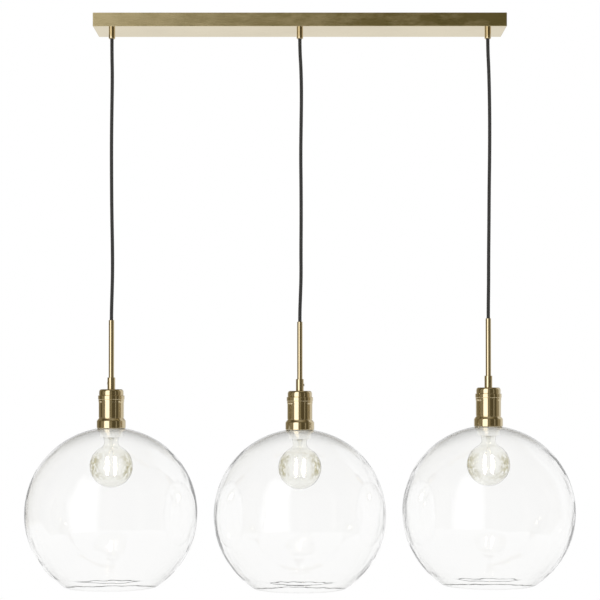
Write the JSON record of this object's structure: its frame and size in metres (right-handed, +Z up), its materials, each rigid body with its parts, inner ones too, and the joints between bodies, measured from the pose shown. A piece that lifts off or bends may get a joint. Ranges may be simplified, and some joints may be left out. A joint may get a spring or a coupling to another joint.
{
  "type": "linear island pendant lamp",
  "caption": "Long brass ceiling canopy with glass globe shades that hang in a row on textile cords, each with a stem tube and a turned socket cover.",
  "frame": {"origin": "ceiling plane, at the middle of the canopy, on the bracket's top face", "axes": "+Z up, +X along the canopy to the right as seen from the front, the front faces -Y"},
  "size_m": [1.0199, 0.32, 1.0593],
  "materials": {
    "canopy_brass": "aged, unevenly patinated sheet",
    "canopy_screw_brass": "aged",
    "bracket_steel": "zinc-plated sheet",
    "screw_steel": "zinc-plated",
    "contact_brass": "bright",
    "fitting_brass": "lacquered, satin, darkened",
    "terminal_plastic": "moulded",
    "collet_nylon": "moulded nylon",
    "cord_textile": "braided black textile",
    "holder_plastic": "moulded thermoplastic",
    "ring_plastic": "moulded",
    "globe_glass": "clear, hand blown",
    "lamp_glass": "clear",
    "light_sticks": "coated",
    "cap_metal": "nickel-plated"
  },
  "bodies": {
    "root": {"canopy_housing": "canopy_brass", "ceiling_bracket": "bracket_steel", "housing_screws": "canopy_screw_brass", "earth_screw": "contact_brass", "terminal_block": "terminal_plastic", "terminal_screws": "screw_steel", "block_screws": "screw_steel", "gland_nuts": "screw_steel", "cord_tails": "cord_textile", "left_gland_body": "fitting_brass", "middle_gland_body": "fitting_brass", "right_gland_body": "fitting_brass"},
    "left_collet_ball": {"left_collet": "collet_nylon"},
    "left_hanging_cord": {"left_cord": "cord_textile"},
    "left_pendant": {"left_stem_tube": "fitting_brass", "left_pendant_lead": "cord_textile", "left_lock_collar": "fitting_brass", "left_lock_screw": "fitting_brass", "left_socket_cover": "fitting_brass", "left_stem_nut": "screw_steel", "left_lampholder": "holder_plastic", "left_lampholder_contacts": "contact_brass", "left_shade_ring": "ring_plastic", "left_glass_globe": "globe_glass"},
    "left_lamp_carrier": {"left_bulb_tip": "contact_brass"},
    "left_lamp": {"left_bulb_envelope": "lamp_glass", "left_bulb_filament": "light_sticks", "left_bulb_cap": "cap_metal"},
    "middle_collet_ball": {"middle_collet": "collet_nylon"},
    "middle_hanging_cord": {"middle_cord": "cord_textile"},
    "middle_pendant": {"middle_stem_tube": "fitting_brass", "middle_pendant_lead": "cord_textile", "middle_lock_collar": "fitting_brass", "middle_lock_screw": "fitting_brass", "middle_socket_cover": "fitting_brass", "middle_stem_nut": "screw_steel", "middle_lampholder": "holder_plastic", "middle_lampholder_contacts": "contact_brass", "middle_shade_ring": "ring_plastic", "middle_glass_globe": "globe_glass"},
    "middle_lamp_carrier": {"middle_bulb_tip": "contact_brass"},
    "middle_lamp": {"middle_bulb_envelope": "lamp_glass", "middle_bulb_filament": "light_sticks", "middle_bulb_cap": "cap_metal"},
    "right_collet_ball": {"right_collet": "collet_nylon"},
    "right_hanging_cord": {"right_cord": "cord_textile"},
    "right_pendant": {"right_stem_tube": "fitting_brass", "right_pendant_lead": "cord_textile", "right_lock_collar": "fitting_brass", "right_lock_screw": "fitting_brass", "right_socket_cover": "fitting_brass", "right_stem_nut": "screw_steel", "right_lampholder": "holder_plastic", "right_lampholder_contacts": "contact_brass", "right_shade_ring": "ring_plastic", "right_glass_globe": "globe_glass"},
    "right_lamp_carrier": {"right_bulb_tip": "contact_brass"},
    "right_lamp": {"right_bulb_envelope": "lamp_glass", "right_bulb_filament": "light_sticks", "right_bulb_cap": "cap_metal"}
  },
  "joints": [
    {"name": "left_swing", "type": "hinge", "parent": "root", "child": "left_collet_ball", "pos_m": [-0.35, 0, -0.036], "axis": [1, 0, 0], "range_deg": [-18, 18]},
    {"name": "left_sway", "type": "hinge", "parent": "left_collet_ball", "child": "left_hanging_cord", "pos_m": [-0.35, 0, -0.036], "axis": [0, 1, 0], "range_deg": [-0.9, 12]},
    {"name": "left_twist", "type": "hinge", "parent": "left_hanging_cord", "child": "left_pendant", "pos_m": [-0.35, 0, -0.5627], "axis": [0, 0, 1], "range_deg": [-180, 180]},
    {"name": "left_lamp_travel", "type": "slide", "parent": "left_pendant", "child": "left_lamp_carrier", "axis": [0, 0, 1], "range_m": [-0.02, 0]},
    {"name": "left_lamp_turn", "type": "hinge", "parent": "left_lamp_carrier", "child": "left_lamp", "pos_m": [-0.35, 0, -0.7795], "axis": [0, 0, 1], "range_deg": [-1980, 0]},
    {"name": "middle_swing", "type": "hinge", "parent": "root", "child": "middle_collet_ball", "pos_m": [0, 0, -0.036], "axis": [1, 0, 0], "range_deg": [-18, 18]},
    {"name": "middle_sway", "type": "hinge", "parent": "middle_collet_ball", "child": "middle_hanging_cord", "pos_m": [0, 0, -0.036], "axis": [0, 1, 0], "range_deg": [-0.9, 0.9]},
    {"name": "middle_twist", "type": "hinge", "parent": "middle_hanging_cord", "child": "middle_pendant", "pos_m": [0, 0, -0.5657], "axis": [0, 0, 1], "range_deg": [-180, 180]},
    {"name": "middle_lamp_travel", "type": "slide", "parent": "middle_pendant", "child": "middle_lamp_carrier", "axis": [0, 0, 1], "range_m": [-0.02, 0]},
    {"name": "middle_lamp_turn", "type": "hinge", "parent": "middle_lamp_carrier", "child": "middle_lamp", "pos_m": [0, 0, -0.7825], "axis": [0, 0, 1], "range_deg": [-1980, 0]},
    {"name": "right_swing", "type": "hinge", "parent": "root", "child": "right_collet_ball", "pos_m": [0.35, 0, -0.036], "axis": [1, 0, 0], "range_deg": [-18, 18]},
    {"name": "right_sway", "type": "hinge", "parent": "right_collet_ball", "child": "right_hanging_cord", "pos_m": [0.35, 0, -0.036], "axis": [0, 1, 0], "range_deg": [-12, 0.9]},
    {"name": "right_twist", "type": "hinge", "parent": "right_hanging_cord", "child": "right_pendant", "pos_m": [0.35, 0, -0.5594], "axis": [0, 0, 1], "range_deg": [-180, 180]},
    {"name": "right_lamp_travel", "type": "slide", "parent": "right_pendant", "child": "right_lamp_carrier", "axis": [0, 0, 1], "range_m": [-0.02, 0]},
    {"name": "right_lamp_turn", "type": "hinge", "parent": "right_lamp_carrier", "child": "right_lamp", "pos_m": [0.35, 0, -0.7762], "axis": [0, 0, 1], "range_deg": [-1980, 0]}
  ],
  "couplings": [
    {"joint": "left_lamp_travel", "follows": "left_lamp_turn", "m_per_rad": 0.00057757},
    {"joint": "middle_lamp_travel", "follows": "middle_lamp_turn", "m_per_rad": 0.00057757},
    {"joint": "right_lamp_travel", "follows": "right_lamp_turn", "m_per_rad": 0.00057757}
  ]
}
